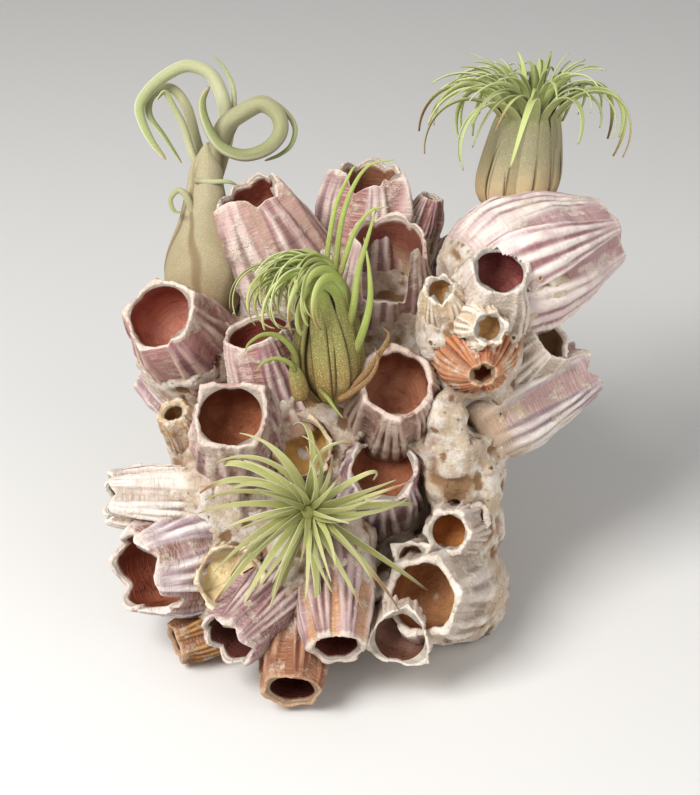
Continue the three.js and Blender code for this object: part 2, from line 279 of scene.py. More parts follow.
# Colours of each kind of shell. Ribbed plates have a ground and streaks, and the sunken bands between them
# have fine lines.
# The two inside colours are the mouth's own reddish-brown with light painted in: darker at the top of the
# inner wall as painted shade, lighter deep down as a painted lit floor.
shellLooks = {
    "rosy": {"plate": "#e4d3c6", "streak": "#a47678", "band": "#a0706a", "bandLight": "#c39c90",
        "foot": "#bb9470", "rim": "#e4d3c2", "insideTopShaded": "#8c4a38", "insideDeepLit": "#b8785f",
        "cloud": "#c79f9c"},
    "mauve": {"plate": "#ebe0d7", "streak": "#8f6c76", "band": "#967072", "bandLight": "#bd9d98",
        "foot": "#b0906e", "rim": "#e8dacb", "insideTopShaded": "#84452e", "insideDeepLit": "#a46642",
        "cloud": "#c2a2a4"},
    "chalk": {"plate": "#ebe2d6", "streak": "#bba898", "band": "#c4af9f", "bandLight": "#d9cab9",
        "foot": "#c2a582", "rim": "#ede3d2", "insideTopShaded": "#8c5d3c", "insideDeepLit": "#b08056",
        "cloud": "#d6c4ba"},
    "brown": {"plate": "#c9af9e", "streak": "#85604f", "band": "#866254", "bandLight": "#aa8a7a",
        "foot": "#a5876a", "rim": "#dfcabb", "insideTopShaded": "#7c422c", "insideDeepLit": "#a56a4c",
        "cloud": "#b08f83"},
    "tan": {"plate": "#dcc59e", "streak": "#b48b5a", "band": "#c49b6a", "bandLight": "#d8b98c",
        "foot": "#97713f", "rim": "#e6d4b2", "insideTopShaded": "#a97d4a", "insideDeepLit": "#c49b62",
        "cloud": "#c8a67e"},
    "orange": {"plate": "#bd9070", "streak": "#7b4a34", "band": "#976144", "bandLight": "#b5876a",
        "foot": "#84543a", "rim": "#cfad8c", "insideTopShaded": "#6e2d19", "insideDeepLit": "#a05530",
        "cloud": "#ad7c60"},
}

# Sizes are in mm. The corners of a mouth are how many, where the first one is and how sharp. A notch is a
# broken stretch of rim: the angle seen from outside (0 right, 90 top), half its width in degrees, its depth.
# The grid is the columns and rows of the outside, and shift moves a shell off its solid, to clear its
# neighbours.
shellDefaults = {
    "roll": 0, "plateTop": 0.5, "sink": 1.3, "ribs": 3, "ribDepth": 0.75, "peak": 0.5, "ragged": 0.8,
    "lumps": 1.7, "crust": 0.25, "lip": 1.3, "corners": (6, 10, 0.6), "steps": 0.3, "notches": [],
    "depth": 0.5, "grid": (144, 42), "footShare": 0.42, "stripes": 0.45, "wide": 1.0, "footWide": 1.1,
    "shift": (0, 0, 0),
}

# One entry a shell, in the order in which they keep their whole shape: a later one ends where it meets an
# earlier one.
shells = {
    "barnacle_top_left": {
        "look": "rosy", "roll": 5, "ribs": 2, "ribDepth": 0.9, "peak": 2, "corners": (3, 95, 0.7),
        "insideTopShaded": "#7c3a2a", "band": "#bb9a8a", "streak": "#ad8682", "notches": [(-60, 30, 5)]},
    "barnacle_top_middle": {
        "look": "rosy", "roll": 30, "peak": 3, "corners": (3, 80, 0.7), "insideTopShaded": "#96664a",
        "notches": [(-100, 40, 4)], "streak": "#ab8a88"},
    "barnacle_upper_left": {
        "look": "rosy", "roll": 12, "lip": 1.5, "ribs": 2, "insideTopShaded": "#96483a", "peak": 0.6,
        "insideDeepLit": "#cc8670", "corners": (5, 120, 0.8), "notches": [(-80, 40, 2.5)],
        "plate": "#dfc8b6", "band": "#b27c78"},
    "barnacle_centre": {
        "look": "brown", "roll": 15, "lip": 1.9, "ribs": 4, "ribDepth": 1.1, "peak": 0.8, "ragged": 0.8,
        "corners": (6, 35, 0.6), "stripes": 1.0},
    "barnacle_broken_middle": {
        "look": "rosy", "roll": 20, "peak": 3, "insideTopShaded": "#8c5242", "insideDeepLit": "#cfae8c",
        "notches": [(-95, 50, 20), (-20, 20, 6)], "ragged": 1.8, "depth": 0.7, "corners": (4, 80, 0.5)},
    "barnacle_left_centre": {
        "look": "rosy", "roll": 0, "lip": 1.7, "crust": 0.55, "ribs": 2, "peak": 0.7,
        "corners": (4, 40, 0.7), "insideTopShaded": "#733822", "insideDeepLit": "#9a5a38"},
    "barnacle_small_left": {
        "look": "tan", "footWide": 0.9, "plate": "#f0e6d6", "streak": "#cbb294", "rim": "#f2e8d8",
        "insideTopShaded": "#cda886", "lip": 1.1, "peak": 2.5, "footShare": 0.1, "lumps": 1.0,
        "band": "#dfcbb2", "grid": (96, 30)},
    "barnacle_small_right": {
        "look": "tan", "plate": "#f0e7d8", "streak": "#cbb294", "rim": "#f2e9da", "footWide": 0.9,
        "insideTopShaded": "#ad855c", "lip": 1.2, "peak": 1.5, "footShare": 0.1, "lumps": 1.0,
        "band": "#dfcdb6", "corners": (6, 0, 0.8), "grid": (96, 30)},
    "barnacle_red_mouth": {
        "look": "chalk", "roll": 10, "crust": 0.7, "lumps": 2.0, "peak": 1.2, "ragged": 1.4,
        "insideTopShaded": "#803a38", "insideDeepLit": "#98554c", "corners": (5, 30, 0.7), "shift": (0, -7, 4.5),
        "depth": 0.35, "plate": "#f3eae0", "rim": "#f3eadf"},
    "barnacle_orange_base": {
        "look": "orange", "ribs": 5, "ribDepth": 0.8, "plateTop": 0.8, "lip": 1.0, "insideTopShaded": "#ac7c54",
        "peak": 1.0, "plate": "#d08a5c", "band": "#bb6a48"},
    "barnacle_big_right": {
        "look": "mauve", "roll": 25, "ribs": 4, "ribDepth": 1.0, "peak": 2, "sink": 1.8, "plateTop": 0.35,
        "crust": 0.05, "footShare": 0.02, "lumps": 1.6, "stripes": 0.7, "plate": "#f0e4da",
        "band": "#b48a88", "streak": "#b8898c", "footWide": 0.72, "wide": 1.05, "grid": (200, 66)},
    "barnacle_left_big": {
        "look": "mauve", "roll": 20, "ribs": 3, "ribDepth": 1.1, "peak": 4, "ragged": 1.8,
        "plate": "#f6f0e9", "streak": "#b49aa0", "insideTopShaded": "#7c3a22", "insideDeepLit": "#a8664a",
        "sink": 2.0, "notches": [(-25, 26, 7)], "lip": 1.8, "band": "#8f6a58", "corners": (5, 50, 0.6),
        "footShare": 0.1, "grid": (180, 56)},
    "barnacle_bottom_left": {
        "look": "mauve", "roll": 30, "ribs": 4, "ribDepth": 0.7, "insideTopShaded": "#5c2c20",
        "insideDeepLit": "#8c4a38", "peak": 3, "plate": "#d5bfb6", "streak": "#8f6a68"},
    "barnacle_bottom_middle": {
        "look": "mauve", "roll": 0, "ribs": 3, "band": "#c4926c", "bandLight": "#d6ab84",
        "insideTopShaded": "#5e2413", "insideDeepLit": "#8a4028", "lip": 1.6, "peak": 1.0, "plate": "#ceb5ab",
        "streak": "#8a625e"},
    "barnacle_right_white": {
        "look": "chalk", "roll": 20, "lip": 2.6, "lumps": 2.2, "crust": 0.45, "ribs": 2, "ribDepth": 1.2,
        "insideTopShaded": "#985f3a", "insideDeepLit": "#c08a5a", "peak": 0.8, "ragged": 0.8,
        "corners": (6, 20, 0.7)},
    "barnacle_centre_lower": {
        "look": "mauve", "roll": 30, "lip": 1.3, "insideTopShaded": "#6e3620", "insideDeepLit": "#9c5c3a",
        "peak": 2.5, "ragged": 1.4, "notches": [(100, 40, 5)]},
    "barnacle_right_chalky": {
        "look": "chalk", "roll": 15, "ribs": 3, "insideTopShaded": "#8c6848", "insideDeepLit": "#b08c64",
        "ribDepth": 0.9, "corners": (5, 60, 0.6), "notches": [(-60, 35, 3)], "lip": 1.2, "wide": 1.1,
        "grid": (150, 46)},
    "barnacle_right_lower": {
        "look": "chalk", "roll": 0, "ribs": 3, "band": "#b08e88", "bandLight": "#cbaea6",
        "streak": "#a9939a", "peak": 4, "ragged": 2.2, "insideTopShaded": "#7a4a3a", "wide": 1.1,
        "footWide": 0.9},
    "barnacle_left_upper_low": {
        "look": "chalk", "roll": 10, "ribs": 3, "streak": "#9a8b92", "peak": 2.5, "insideTopShaded": "#6a5048",
        "ribDepth": 0.9, "stripes": 0.9, "grid": (150, 46)},
    "barnacle_bottom_front": {
        "look": "orange", "roll": 15, "ribs": 2, "insideTopShaded": "#4c170c", "insideDeepLit": "#8a4424",
        "ragged": 1.4, "ribDepth": 0.8},
    "barnacle_right_low": {
        "look": "chalk", "roll": 0, "lip": 1.0, "peak": 1.5, "insideTopShaded": "#7c5040",
        "insideDeepLit": "#a07864", "plate": "#e2cfc0", "corners": (3, 200, 0.6)},
    "barnacle_cream_broken": {
        "look": "tan", "plate": "#efe3c8", "insideTopShaded": "#f4ead2", "insideDeepLit": "#ead6a0", "lip": 1.3,
        "depth": 0.32, "peak": 4.0, "notches": [(-40, 40, 9)], "grid": (140, 38)},
    "barnacle_behind_plant": {
        "look": "rosy", "roll": 40, "lip": 1.6, "insideTopShaded": "#843e34", "ragged": 1.6},
    "barnacle_right_hollow": {
        "look": "chalk", "lip": 1.2, "insideTopShaded": "#a07c64", "insideDeepLit": "#bfa084", "crust": 0.4,
        "grid": (120, 36)},
    "barnacle_right_small": {
        "look": "chalk", "roll": 10, "lip": 1.8, "crust": 0.4, "plate": "#dfccc4", "insideTopShaded": "#98582a",
        "insideDeepLit": "#bf7c3e", "grid": (130, 40)},
    "barnacle_right_slit": {
        "look": "chalk", "roll": 0, "lip": 1.8, "crust": 0.4, "insideTopShaded": "#a88460",
        "corners": (3, 45, 0.8), "grid": (110, 34)},
    "barnacle_right_knob": {
        "look": "chalk", "lip": 3.0, "ribDepth": 0.2, "ragged": 0.3, "grid": (90, 28)},
    "barnacle_left_small": {"look": "tan", "crust": 0.6, "lumps": 1.6, "lip": 2.2, "grid": (110, 34)},
    "barnacle_bottom_tan": {"look": "orange", "plate": "#c99b64", "streak": "#8a5a2e", "grid": (110, 34)},
    "barnacle_yellow_behind": {
        "look": "tan", "insideTopShaded": "#b48a4a", "insideDeepLit": "#c89c54", "notches": [(-60, 60, 7)],
        "grid": (130, 36)},
    "barnacle_top_knob": {"look": "rosy", "grid": (90, 28)},
    "barnacle_back_upper_left": {"look": "rosy", "roll": 35, "grid": (116, 34)},
    "barnacle_back_upper_right": {
        "look": "mauve", "roll": 10, "notches": [(60, 30, 6)], "grid": (116, 34)},
    "barnacle_back_middle": {"look": "chalk", "roll": 25, "lip": 2.4, "grid": (116, 34)},
    "barnacle_back_left": {"look": "mauve", "roll": 5, "notches": [(-150, 35, 7)], "grid": (116, 34)},
    "barnacle_back_right": {"look": "brown", "roll": 50, "grid": (116, 34)},
    "barnacle_back_low_left": {"look": "rosy", "roll": 15, "peak": 3, "grid": (116, 34)},
    "barnacle_back_low_middle": {"look": "brown", "grid": (116, 34)},
    "barnacle_back_low_right": {"look": "chalk", "roll": 45, "ragged": 1.8, "grid": (116, 34)},
}


def shellFinish(name, own):
    finish = Finish(name)
    mix, step, noise = finish.mix, finish.step, finish.noise
    inside, depth, plate = (finish.value(key) for key in ("inside", "depth", "plate"))
    rib, along, tone = (finish.value(key) for key in ("rib", "along", "tone"))
    grain = finish.place("grain")
    body = finish.node("ShaderNodeTexCoord", {}, {}, 3)
    streaks = noise(finish.stretch(grain, (0.9, 0.07, 1)), 1.0, 4)
    lines = noise(finish.stretch(grain, (0.06, 1.9, 1)), 1.0, 3)
    clouds = noise(body, 70, 4)
    patches = noise(body, 150, 5, 0.65)
    grit = noise(body, 900, 4, 0.7)

    stripes = streaks * 0.9 + rib * own["stripes"]
    ridged = step(stripes + (clouds - 0.5) * 0.6 + (tone - 0.5) * 0.25, 0.35, 0.95)
    onPlate = mix(own["streak"], own["plate"], ridged)
    onBand = mix(own["band"], own["bandLight"], step(lines + (clouds - 0.5) * 0.4, 0.4, 0.65))
    outer = mix(onBand, onPlate, plate)
    outer = mix(outer, own["cloud"], step(clouds + (tone - 0.5) * 0.2, 0.48, 0.66) * 0.6)
    outer = mix(outer, own["rim"], step(patches + (tone - 0.5) * 0.35, 0.6, 0.78) * 0.7)
    outer = mix(outer, own["rim"], step(along + (patches - 0.5) * 0.3, 0.95, 1.02) * 0.8)
    footTint = step(along + (clouds - 0.5) * 0.9, own["footShare"], own["footShare"] - 0.35)
    outer = mix(outer, own["foot"], footTint * 0.75)
    crusted = step(patches + own["crust"] * 0.3, 0.6, 0.74)
    crustTone = mix("#c2a283", "#e9ddce", step(grit, 0.3, 0.6))
    outer = mix(outer, crustTone, crusted * 0.75)
    stains = step(noise(body, 260, 4, 0.7), 0.58, 0.75)
    outer = mix(outer, "#8f6446", stains * 0.45)
    # painted shade: the troughs between the ribs, and less so the sunken bands, are darkened where shade
    # would fall in them
    creaseShade = mix("#755d54", "#ffffff", step(rib + (lines - 0.5) * 0.6, -0.15, 0.45))
    outer = mix(outer, creaseShade, 0.6, "MULTIPLY")

    # painted light inside the mouth: the top of the inner wall is darker as painted shade, the deep floor
    # lighter as painted light
    inner = mix(own["rim"], own["insideTopShaded"], step(depth + (patches - 0.5) * 0.1, 0.02, 0.1))
    inner = mix(inner, own["insideDeepLit"], step(depth + (clouds - 0.5) * 0.3, 0.3, 0.7))
    inner = mix(inner, mix("#c4aca0", "#ffffff", step(lines, 0.35, 0.7)), 0.4, "MULTIPLY")
    inner = mix(inner, own["rim"], step(noise(body, 320, 5, 0.7), 0.66, 0.8) * 0.12)

    base = mix(outer, inner, step(inside, 0.25, 0.75))
    roughness = 0.88 - inside * 0.25 + (grit - 0.5) * 0.15
    height = streaks * plate * 0.7 + lines * 0.55 + grit * 0.4 + crusted * grit * 0.8 + patches * 0.5
    return finish.finish(base, roughness, height, 0.85, {"Specular IOR Level": 0.35})


# outer radius of a shell against its height as a share of its length
def wallRadius(place, share):
    girth, mouth = place["girth"], place["mouth"]
    radii = [girth * place["footWide"], girth * 1.06, girth * 0.58 + mouth * 0.5, mouth + 0.4]
    wall = np.polyfit([0, 0.34, 0.72, 1], radii, 3)
    return np.polyval(wall, np.clip(share, -0.1, 1.05))


def shellCoordinates(place, points):  # height above the foot and distance from the axis
    away = points - place["lip"]
    height = away @ place["axis"]
    reach = np.sqrt(np.maximum((away ** 2).sum(-1) - height ** 2, 0))
    return height + place["length"], reach


def buildShell(node, number):
    own, place = looks[node], places[node]
    axis, mouth, length = place["axis"], place["mouth"], place["length"]
    upward = np.array([0, 0, 1.0]) if abs(axis[2]) < 0.8 else np.array([0, 1.0, 0])
    top = unit(upward - axis * (upward @ axis))
    side = np.cross(top, axis)
    random = np.random.default_rng(number + 5)
    seed = 100 * number + 7
    columns, outerRows = own["grid"]
    innerRows = outerRows // 2
    turn = np.arange(columns) * 360 / columns
    around = np.stack([np.cos(np.radians(turn)), np.sin(np.radians(turn))], -1)

    # six wall plates: wedges that narrow towards the rim, with sunken bands between them
    centres = np.arange(6) * 60 + own["roll"] + random.uniform(-9, 9, 6)
    halves = random.uniform(26, 36, 6)
    apart = (turn[None] - centres[:, None] + 180) % 360 - 180
    nearest = (np.abs(apart) / halves[:, None]).argmin(0)
    offset = np.take_along_axis(apart, nearest[None], 0)[0] / halves[nearest]
    ribShift = random.uniform(0, 1, 6)[nearest]
    tone = random.uniform(0, 1, 6)[nearest]

    count, first, sharp = own["corners"]  # the mouth is a rounded polygon
    sector = 2 * np.pi / count
    bearing = np.radians(turn - first) % sector - sector / 2
    polygon = blend(1, np.cos(sector / 2) / np.cos(bearing), sharp)
    polygon = polygon / polygon.mean()

    rimPlace = np.column_stack([around * mouth, np.full(columns, seed * 3.1)])
    polygon = polygon * (1 + 0.07 * valueNoise(rimPlace, mouth, seed + 31))
    rimHeight = length + own["peak"] * (0.35 - np.abs(offset) ** 1.5)
    rimHeight = rimHeight + own["ragged"] * roughNoise(rimPlace, 11, 4, seed)
    for notchTurn, halfWidth, depth in own["notches"]:
        gap = np.abs((turn - notchTurn + 180) % 360 - 180) + 6 * valueNoise(rimPlace, 3.0, seed + 3)
        rimHeight = rimHeight - depth * smooth(halfWidth, halfWidth * 0.55, gap)

    share = np.linspace(0, 1, outerRows)[:, None] ** 0.92
    height = share * rimHeight
    along = height / length
    wedge = blend(1.0, own["plateTop"], np.clip(along, 0, 1))
    plate = smooth(1.1, 0.86, np.abs(offset) / wedge)
    circle = around[None] * mouth
    base = np.concatenate([circle * np.ones((outerRows, 1, 1)), height[..., None]], -1) + seed * 1.7
    ribWave = 0.5 + 0.5 * np.cos(2 * np.pi * (offset / wedge * own["ribs"] / 2 + ribShift))
    ribWave = np.clip(ribWave + 0.5 * valueNoise(base * [1, 1, 0.2], 4, seed + 9), 0, 1.2)
    swell = smooth(0.0, 0.35, along) * (1 - 0.85 * smooth(0.72, 0.98, along))
    terrace = ((height + 1.2 * valueNoise(base, 9, seed + 21)) / 3.1) % 1.0
    cornered = blend(1 + (polygon - 1) * 0.4, polygon, smooth(0.5, 1, along))
    radius = wallRadius(place, along) * own["wide"] * cornered
    radius = radius + own["ribDepth"] * (plate * ribWave - 0.4) * swell + 0.3 * (1 - swell) * plate
    radius = radius - own["sink"] * (1 - plate) * blend(0.15, 1.0, swell)
    radius = radius + own["lumps"] * roughNoise(base, 15, 3, seed + 1) * (1 - 0.6 * smooth(0.7, 1, along))
    radius = radius + own["steps"] * (terrace - 0.5) * (1.3 - plate)
    radius = radius + own["crust"] * 0.9 * np.abs(valueNoise(base, 2.3, seed + 2))
    radius = radius + 0.25 * valueNoise(base, 3.5, seed + 4)
    lip = own["lip"] * (1 + 0.35 * valueNoise(rimPlace, 4, seed + 5))
    evenRim = np.mean([np.roll(radius[-1], shift) for shift in range(-columns // 14, columns // 14 + 1)], 0)
    mouthEdge = blend(radius[-1], evenRim, 0.7) - lip

    rim = np.stack([blend(radius[-1], mouthEdge, share) for share in (0.1, 0.45, 0.85, 1.0)])
    rimUp = np.stack([rimHeight + rise * lip for rise in (0.12, 0.26, 0.1, -0.25)])
    sunk = np.linspace(0.015, 1, innerRows)[:, None]
    floor = length * (1 - own["depth"])
    innerHeight = (rimHeight - 0.25 * lip) * (1 - sunk) + floor * sunk
    bowl = (1 + 0.06 * smooth(0.05, 0.4, sunk)) * np.sqrt(1 - smooth(0.55, 1.02, sunk) ** 2)
    innerPlace = np.concatenate([circle * np.ones((innerRows, 1, 1)), innerHeight[..., None]], -1) - seed
    roomy = wallRadius(place, innerHeight / length) * own["wide"] - own["sink"] * 0.6 - 1.6
    innerRadius = np.minimum(mouthEdge * bowl, roomy)
    ripple = np.sin(innerHeight * 2.9 + 2 * valueNoise(innerPlace, 6, seed + 6))
    innerRadius = innerRadius + 0.06 * ripple + 0.3 * valueNoise(innerPlace, 6, seed + 8) * sunk
    innerRadius = np.maximum(innerRadius, 0.4)
    innerRadius[-1] = 0.5

    radii = np.concatenate([radius, rim, innerRadius])
    heights = np.concatenate([height, rimUp, innerHeight])
    points = place["lip"] + (radii * around[:, 0])[..., None] * side + (radii * around[:, 1])[..., None] * top
    points = points + (heights - length)[..., None] * axis
    ends = np.array([place["lip"] - axis * length, place["lip"] - axis * (length - floor)])
    points = np.concatenate([points.reshape(-1, 3), ends])
    total = len(radii) * columns
    faces = ringFaces(len(radii), columns, 0, total, total + 1)

    # a shell stops where an earlier one took the room
    taken = np.zeros(len(points), bool)
    for other in list(shells)[:number]:
        rise, reach = shellCoordinates(places[other], points)
        wall = wallRadius(places[other], rise / places[other]["length"]) - 0.5
        taken |= (reach < wall) & (rise > 1) & (rise < places[other]["length"] + 1)
    taken |= points[:, 2] < -0.5
    faces = [face for face in faces if not all(taken[corner] for corner in face)]
    points[:, 2] = np.maximum(points[:, 2], 0.2)

    def rowValues(outer, rimValue, inner):  # one number a point: outside rows, rim rows, inside rows, ends
        spread = [np.broadcast_to(outer, radius.shape), np.broadcast_to(rimValue, rim.shape),
                  np.broadcast_to(inner, innerRadius.shape)]
        return np.concatenate([np.concatenate(spread).ravel(), [np.ravel(outer)[0], np.ravel(inner)[-1]]])

    rimShade = np.array([0.0, 0.2, 0.5, 0.8])[:, None]
    across = offset * 30 * np.pi / 180 * mouth + nearest * 60 + seed
    grain = np.stack([rowValues(across, across, across), rowValues(height, rimUp, innerHeight),
                      rowValues(seed, seed, seed + 50)], -1)
    values = {
        "inside": rowValues(0, rimShade, 1), "depth": rowValues(0, 0, sunk),
        "plate": rowValues(plate, plate[-1], 0),
        "rib": rowValues(blend(0.3, ribWave, plate * swell), 0.6, 0.6), "along": rowValues(along, 1, 1),
        "grain": grain, "tone": rowValues(tone, tone, tone),
    }
    material = shellFinish(node + "_finish", own)
    makePiece(node + "_shell", points, faces, values, material, [node])


looks, places = {}, {}
for node, own in shells.items():
    looks[node] = {**shellDefaults, **shellLooks[own["look"]], **own}
    places[node] = {**measureShell(node), "footWide": looks[node]["footWide"]}
    places[node]["lip"] = places[node]["lip"] + np.array(looks[node]["shift"])
for number, node in enumerate(shells):
    buildShell(node, number)
print("shells built:", len(shells))


# the limy crust between the shells

# Sizes are in mm. Cover is the share of a shell that the crust climbs. Fills are mounds: middle and radius.
crust = {
    "cell": 1.5, "coarseCell": 4.0, "cover": 0.3, "thick": 1.3, "blend": 2.6, "lumps": 1.8, "grains": 1.7,
    "pits": 0.9, "young": 70, "youngSides": 18, "seed": 12, "mouthRoom": 14,
    # Of the colours, the darkest brown is both real dark grains and painted shade in the crust's hollows, and
    # the pit colour is painted shade in its small pits.
    "light": "#f6ebdd", "middle": "#dec7ab", "darkGrainsAndShade": "#a07c5a", "rosy": "#d6b2a6", "pitShade": "#8a6a52",
    "fills": [((38, -20, 80), 11), ((42, -14, 66), 13), ((50, 0, 92), 12), ((34, -21, 94), 8),
              ((47, -19, 62), 11), ((37, -24, 68), 9)],
}


# A closed skin round the part of a grid where the field is above zero, with one point in each cell that it
# crosses.
def skin(field, low, cell):
    inside = field > 0
    corners = list(itertools.product((0, 1), repeat=3))
    size = np.array(field.shape) - 1

    def corner(values, shift):
        return values[tuple(slice(s, s + n) for s, n in zip(shift, size))]

    count = sum(corner(inside, shift).astype(np.int8) for shift in corners)
    crossed = (count > 0) & (count < 8)
    cells = np.argwhere(crossed)
    total, weight = np.zeros((len(cells), 3)), np.zeros((len(cells), 1))
    for a, b in itertools.combinations(corners, 2):
        if sum(abs(i - j) for i, j in zip(a, b)) != 1:
            continue
        one, two = corner(field, a)[crossed], corner(field, b)[crossed]
        cut = (one > 0) != (two > 0)
        part = np.where(cut, one / np.where(cut, one - two, 1), 0)[:, None]
        total += np.where(cut[:, None], np.array(a) + part * (np.array(b) - np.array(a)), 0)
        weight += cut[:, None]
    points = low + (cells + total / weight) * cell
    number = np.full(size, -1)
    number[crossed] = np.arange(len(cells))
    faces = []
    for k in range(3):
        i, j = (k + 1) % 3, (k + 2) % 3
        along = [slice(0, n) for n in size]
        ahead = list(along)
        ahead[k] = slice(1, size[k] + 1)
        here, there = inside[tuple(along)], inside[tuple(ahead)]
        for flip, crossing in ((False, here & ~there), (True, there & ~here)):
            edges = np.argwhere(crossing)
            edges = edges[(edges[:, i] > 0) & (edges[:, j] > 0)]
            around = []
            for di, dj in ((0, 0), (-1, 0), (-1, -1), (0, -1)):
                step = np.zeros(3, int)
                step[i], step[j] = di, dj
                around.append(number[tuple((edges + step).T)])
            quads = np.stack(around[::-1] if flip else around, -1)
            faces.append(quads[(quads >= 0).all(1)])
    return points, np.concatenate(faces)


def melted(depth):  # depths summed this way run into each other like soft wax
    return np.exp(np.clip(depth / crust["blend"], -20, 20))


def crustField(low, shape, cell):
    grid = [low[k] + np.arange(shape[k]) * cell for k in range(3)]
    coarse = [np.arange(line[0] - 1, line[-1] + 5, crust["coarseCell"]) for line in grid]
    spots = np.stack(np.meshgrid(*coarse, indexing="ij"), -1)
    tree = BVHTree.FromPolygons(*(part.tolist() for part in solidArrays("cement_crust")))
    depth = np.empty(spots.shape[:3])
    for index in np.ndindex(depth.shape):
        nearest, normal, face, distance = tree.find_nearest(Vector(spots[index]))
        depth[index] = -math.copysign(distance, (Vector(spots[index]) - nearest).dot(normal))
    depth = depth + crust["lumps"] * roughNoise(spots, 16, 2, 3)
    for k in range(3):  # from the coarse grid to the fine one
        cellShare = (grid[k] - coarse[k][0]) / crust["coarseCell"]
        start = cellShare.astype(int)
        part = (cellShare - start).reshape([-1 if axis == k else 1 for axis in range(3)])
        depth = np.take(depth, start, k) * (1 - part) + np.take(depth, start + 1, k) * part
    total = melted(depth)
    x, y, z = np.meshgrid(*grid, indexing="ij", sparse=True)
    for (middleX, middleY, middleZ), radius in crust["fills"]:
        away = np.sqrt((x - middleX) ** 2 + (y - middleY) ** 2 + (z - middleZ) ** 2)
        total += melted(radius - away)
    hollow = np.full(total.shape, -50.0)
    for number, node in enumerate(shells):
        place = places[node]
        reachOut = place["length"] + crust["mouthRoom"] + place["girth"]
        nearby = np.stack([place["lip"] - reachOut, place["lip"] + reachOut], -1)
        window = tuple(slice(*np.searchsorted(grid[k], nearby[k])) for k in range(3))
        spots = np.stack(np.meshgrid(*(grid[k][window[k]] for k in range(3)), indexing="ij"), -1)
        height, reach = shellCoordinates(place, spots)
        share = height / place["length"]
        top = crust["cover"] * (1 + 0.45 * math.sin(7.0 * number))
        wall = wallRadius(place, share)
        cover = wall - reach + crust["thick"] * (1 - share / top)
        cover = np.minimum(cover, np.minimum(height + 6, (top + 0.12) * place["length"] - height))
        total[window] += melted(cover)
        mouthRoom = np.where(share < 1, wall - 0.6, place["mouth"] - 0.5) - reach
        limits = np.minimum(height - place["length"] * 0.5, place["length"] + crust["mouthRoom"] - height)
        hollow[window] = np.maximum(hollow[window], np.minimum(mouthRoom, limits))
    field = np.minimum(crust["blend"] * np.log(total), -hollow)
    return np.minimum(field, grid[2][None, None, :] - 0.1)


def crustFinish():
    finish = Finish("crust_finish")
    mix, step, noise = finish.mix, finish.step, finish.noise
    body = finish.node("ShaderNodeTexCoord", {}, {}, 3)
    rise = finish.value("rise")
    clouds = noise(body, 55, 4)
    grains = noise(body, 1100, 4, 0.75)
    patches = noise(body, 210, 5, 0.7)
    holes = step(finish.pits(body, 300) + (patches - 0.5) * 0.5, 0.02, 0.14)
    base = mix(crust["middle"], crust["light"], step(patches + (clouds - 0.5) * 0.6, 0.42, 0.62))
    base = mix(base, crust["rosy"], step(noise(body, 95, 3), 0.55, 0.7) * 0.6)
    base = mix(base, crust["darkGrainsAndShade"], step(grains, 0.58, 0.72) * 0.5)
    # painted shade: where the crust sinks (low rise: hollows, pits and the openings of the young barnacles)
    # it takes the dark colour
    base = mix(crust["darkGrainsAndShade"], base, step(rise + (patches - 0.5) * 0.8, -0.75, 0.1))
    # painted shade: the small pits of the texture are darkened
    base = mix(crust["pitShade"], base, holes * 0.6 + 0.4)
    height = grains * 1.1 + patches * 1.2 + holes * 0.5
    return finish.finish(base, 0.93, height, 1.3, {"Specular IOR Level": 0.25})


